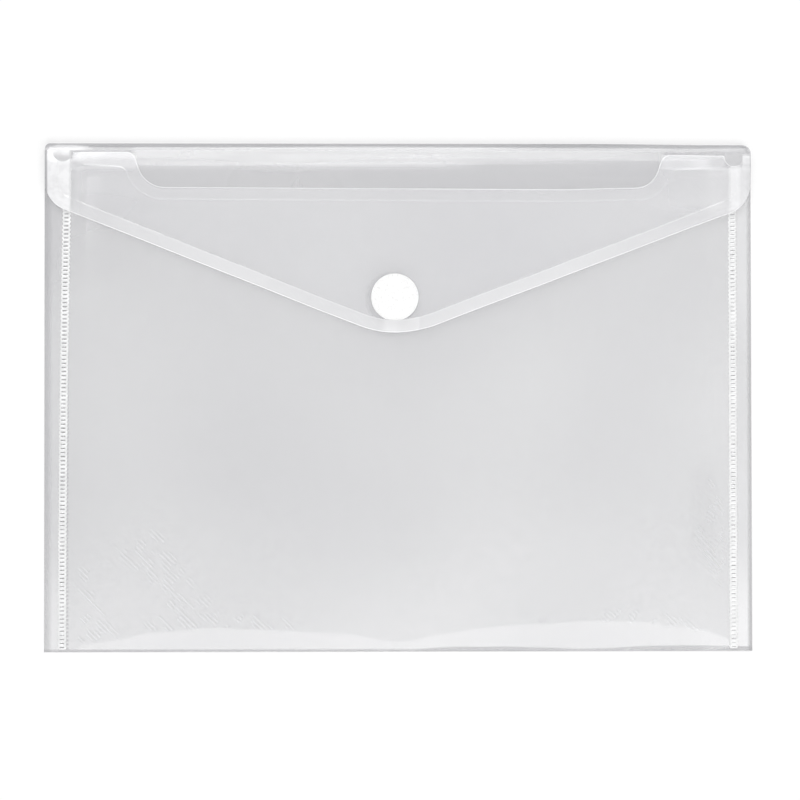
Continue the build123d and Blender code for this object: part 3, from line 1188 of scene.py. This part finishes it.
def spread_pile(tuft, pitch, reach, seed):
    """Copies one hook or loop over a round field and turns every copy its own way."""
    count = 2 * int(reach / pitch) + 1
    repeat(tuft, count, (pitch, 0, 0))
    repeat(tuft, count, (0, pitch, 0))
    edit(tuft, "DESELECT")
    leave_edit()
    dice = random.Random(seed)
    turns = {}
    first = -int(reach / pitch) * pitch
    for vertex in tuft.data.vertices:
        cell = (round((vertex.co.x - first) / pitch), round((vertex.co.y - first) / pitch))
        middle = Vector((first + cell[0] * pitch, first + cell[1] * pitch))
        angle = turns.setdefault(cell, dice.uniform(-0.5, 0.5))
        aside = vertex.co.xy - middle
        aside.rotate(Matrix.Rotation(angle, 2))
        vertex.co.xy = middle + aside + Vector((COIN_X, COIN_Y))
        vertex.select = middle.length > reach
    edit(tuft)
    bpy.ops.mesh.select_mode(type="VERT")
    bpy.ops.mesh.delete(type="VERT")
    leave_edit()


def add_hooks(low, high, pitch, reach):
    """The field of tiny hooks that hangs from the hook tape."""
    first = -int(reach / pitch) * pitch
    hook = add_piece("hook_field", bpy.ops.mesh.primitive_plane_add, size=1)
    for vertex in hook.data.vertices:
        vertex.co = (0.14 * MM * vertex.co.x - 0.16 * MM, 0.24 * MM * vertex.co.y, high)
    drop = high - low - 0.2 * MM
    bend = (-0.03 * MM, 0, high - drop)
    edit(hook, "SELECT")
    bpy.ops.mesh.extrude_region_move(TRANSFORM_OT_translate={"value": (0, 0, -drop)})
    bpy.ops.mesh.spin(steps=5, angle=math.radians(-200), center=bend, axis=(0, 1, 0))
    bpy.ops.mesh.select_all(action="SELECT")
    bpy.ops.mesh.normals_make_consistent(inside=False)
    bpy.ops.transform.translate(value=(first, first, 0))
    leave_edit()
    spread_pile(hook, pitch, reach, 11)
    return hook


def add_loops(low, high, pitch, reach):
    """The field of tiny loops that stands on the loop tape."""
    first = -int(reach / pitch) * pitch
    thread = 0.04 * MM
    loop = add_piece(
        "loop_field",
        bpy.ops.mesh.primitive_torus_add,
        major_segments=12,
        minor_segments=4,
        major_radius=high - low - thread,
        minor_radius=thread,
        location=(first, first, low),
        rotation=(math.radians(80), 0, math.radians(35)),
    )
    bpy.ops.object.transform_apply(location=True, rotation=True, scale=True)
    spread_pile(loop, pitch, reach, 5)
    return loop


def tape_material(name, tint, weave_pitch):
    """White woven nylon with fine threads and a little unevenness."""
    recipe = Recipe(bpy.data.materials.new(name))
    vector, x, y = recipe.place()[:3]
    weave = x.wave(weave_pitch) * y.wave(weave_pitch)
    cloud = recipe.noise(vector, 500.0)
    shaded = tuple(0.93 * part for part in tint)
    tinted = recipe.mix(0.1 * cloud + 0.1 * weave, tint, shaded)
    bump = recipe.bump(weave, 0.12, 0.05 * MM)
    return recipe.surface({"Base Color": tinted, "Roughness": 0.6 + 0.2 * cloud, "Normal": bump})


def adhesive_material():
    """Clear adhesive with small trapped bubbles."""
    colours = bpy.context.scene.wallet_colours
    recipe = Recipe(bpy.data.materials.new("adhesive_layer"))
    bubbles = recipe.noise(recipe.place()[0], 900.0).step(0.55, 0.7)
    pale = tuple(min(1.0, 1.06 * part) for part in colours.adhesive)
    tinted = recipe.mix(bubbles, colours.adhesive, pale)
    sockets = {"Base Color": tinted, "Roughness": 0.3 + 0.2 * bubbles, "Alpha": 0.06 + 0.05 * bubbles}
    return recipe.surface(sockets)


class WALLET_OT_closure(bpy.types.Operator):
    """Adds the round hook-and-loop closure: two tapes with their pile and two adhesive layers"""

    bl_idname = "wallet.closure"
    bl_label = "Closure"

    def execute(self, context):
        sizes = context.scene.wallet_sizes
        colours = context.scene.wallet_colours
        pitch = sizes.pile_pitch
        slack = 0.01 * MM
        pile = 0.4 * MM
        tape_bevel = 0.12 * MM
        glue_bevel = 0.02 * MM
        reach = COIN_RADIUS - 0.8 * MM
        hook_base = HOOK_FLOOR + pile
        loop_base = LOOP_TOP - pile
        hook_tape = disc("hook_tape", COIN_RADIUS, hook_base, HOOK_TOP - slack, tape_bevel)
        hooks = add_hooks(HOOK_FLOOR + slack, hook_base + 2 * slack, pitch, reach)
        loop_tape = disc("loop_tape", COIN_RADIUS, LOOP_FLOOR + slack, loop_base, tape_bevel)
        loops = add_loops(loop_base, LOOP_TOP - slack, pitch, reach)
        dress(hook_tape, tape_material("hook_nylon", colours.coin, 0.7 * MM))
        dress(loop_tape, tape_material("loop_nylon", colours.coin, 0.5 * MM))
        dress(hooks, hook_tape.data.materials[0])
        dress(loops, loop_tape.data.materials[0])
        inner = COIN_RADIUS - 0.3 * MM
        glue = adhesive_material()
        hook_glue = disc("hook_glue", inner, HOOK_TOP + slack, FLAP_FLOOR - slack, glue_bevel)
        loop_glue = disc("loop_glue", inner, CREST_TOP + slack, LOOP_FLOOR - slack, glue_bevel)
        dress(hook_glue, glue)
        dress(loop_glue, glue)
        for piece, field, node, body, slot in (
            (hook_tape, hooks, "hook_disc", "flap", "hook_tape"),
            (loop_tape, loops, "loop_disc", "pocket", "loop_pile"),
            (hook_glue, None, "hook_adhesive", "flap", "adhesive"),
            (loop_glue, None, "loop_adhesive", "pocket", "adhesive"),
        ):
            if field:
                soften(field)
                choose(piece)
                field.select_set(True)
                bpy.ops.object.join()
            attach(piece, body)
            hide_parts(node)
        return {"FINISHED"}


class WALLET_OT_stage(bpy.types.Operator):
    """Adds the floor, the soft lights, the world and the camera"""

    bl_idname = "wallet.stage"
    bl_label = "Stage"

    def execute(self, context):
        scene = context.scene
        colours = scene.wallet_colours
        white = (1, 1, 1, 1)
        floor_gap = 0.05 * MM
        floor = add_piece("floor", bpy.ops.mesh.primitive_plane_add, size=30, location=(0, 0, -floor_gap))
        edit(floor, "SELECT")
        bpy.ops.mesh.subdivide(number_cuts=4)
        leave_edit()
        recipe = Recipe(bpy.data.materials.new("floor"))
        far = distance(*recipe.place()[1:3]).step(0.35, 0.9)
        matt = recipe.add("ShaderNodeBsdfDiffuse", {}, {"Color": opaque(colours.floor)})[0]
        glow = recipe.add("ShaderNodeEmission", {}, {"Color": white, "Strength": 1.0})[0]
        shown = recipe.seen() * (0.5 + 0.5 * far)
        mixed = recipe.add("ShaderNodeMixShader", {}, {0: shown, 1: matt, 2: glow})[0]
        recipe.add("ShaderNodeOutputMaterial", {}, {"Surface": mixed})
        dress(floor, recipe.owner)

        scene.world = scene.world or bpy.data.worlds.new("studio")
        recipe = Recipe(scene.world)
        strength = 0.42 + 0.58 * recipe.seen()
        sky = recipe.add("ShaderNodeBackground", {}, {"Color": white, "Strength": strength})[0]
        recipe.add("ShaderNodeOutputWorld", {}, {"Surface": sky})

        for name, place in (("front_softbox", (0.25, -0.84, 1.24)), ("rear_softbox", (-0.2, 0.72, 1.30))):
            lamp = add_piece(name, bpy.ops.object.light_add, type="AREA", location=place)
            lamp.data.shape = "RECTANGLE"
            lamp.data.size = 1.7
            lamp.data.size_y = 0.75
            lamp.data.energy = 11.0
            lamp.visible_camera = False
            lamp.rotation_euler = lamp.location.to_track_quat("Z", "Y").to_euler()

        place = (-53.44 * MM, -65.07 * MM, 1.99894)
        aim = [math.radians(degrees) for degrees in (1.831, -1.548, -0.069)]
        camera = add_piece("camera", bpy.ops.object.camera_add, location=place, rotation=aim)
        camera.data.lens = 190.0
        camera.data.sensor_width = 36.0
        camera.data.clip_end = 100.0
        scene.camera = camera
        scene.view_settings.view_transform = "Standard"

        # Many clear layers lie on each other, so rays pass through more of them than usual
        scene.cycles.transparent_max_bounces = 32
        scene.cycles.max_bounces = 5
        scene.cycles.diffuse_bounces = 3
        scene.cycles.glossy_bounces = 2
        return {"FINISHED"}


class WALLET_PT_build(bpy.types.Panel):
    """Lists the wallet's build steps"""

    bl_idname = "WALLET_PT_build"
    bl_label = "Document wallet"
    bl_space_type = "VIEW_3D"
    bl_region_type = "UI"
    bl_category = "Wallet"

    def draw(self, context):
        for step in STEPS:
            self.layout.operator(step.bl_idname)


STEPS = (
    WALLET_OT_stage,
    WALLET_OT_back_film,
    WALLET_OT_bottom_crease,
    WALLET_OT_front_film,
    WALLET_OT_side_welds,
    WALLET_OT_top_roll,
    WALLET_OT_flap_film,
    WALLET_OT_closure,
)
CLASSES = (WalletSizes, WalletColours, *STEPS, WALLET_PT_build)


def register():
    for item in CLASSES:
        bpy.utils.register_class(item)
    bpy.types.Scene.wallet_sizes = bpy.props.PointerProperty(type=WalletSizes)
    bpy.types.Scene.wallet_colours = bpy.props.PointerProperty(type=WalletColours)


def unregister():
    del bpy.types.Scene.wallet_colours
    del bpy.types.Scene.wallet_sizes
    for item in reversed(CLASSES):
        bpy.utils.unregister_class(item)


def main():
    register()
    bpy.ops.wallet.stage()
    bpy.ops.wallet.back_film()
    bpy.ops.wallet.bottom_crease()
    bpy.ops.wallet.front_film()
    bpy.ops.wallet.side_welds()
    bpy.ops.wallet.top_roll()
    bpy.ops.wallet.flap_film()
    bpy.ops.wallet.closure()
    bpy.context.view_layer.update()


if __name__ == "__main__":
    main()
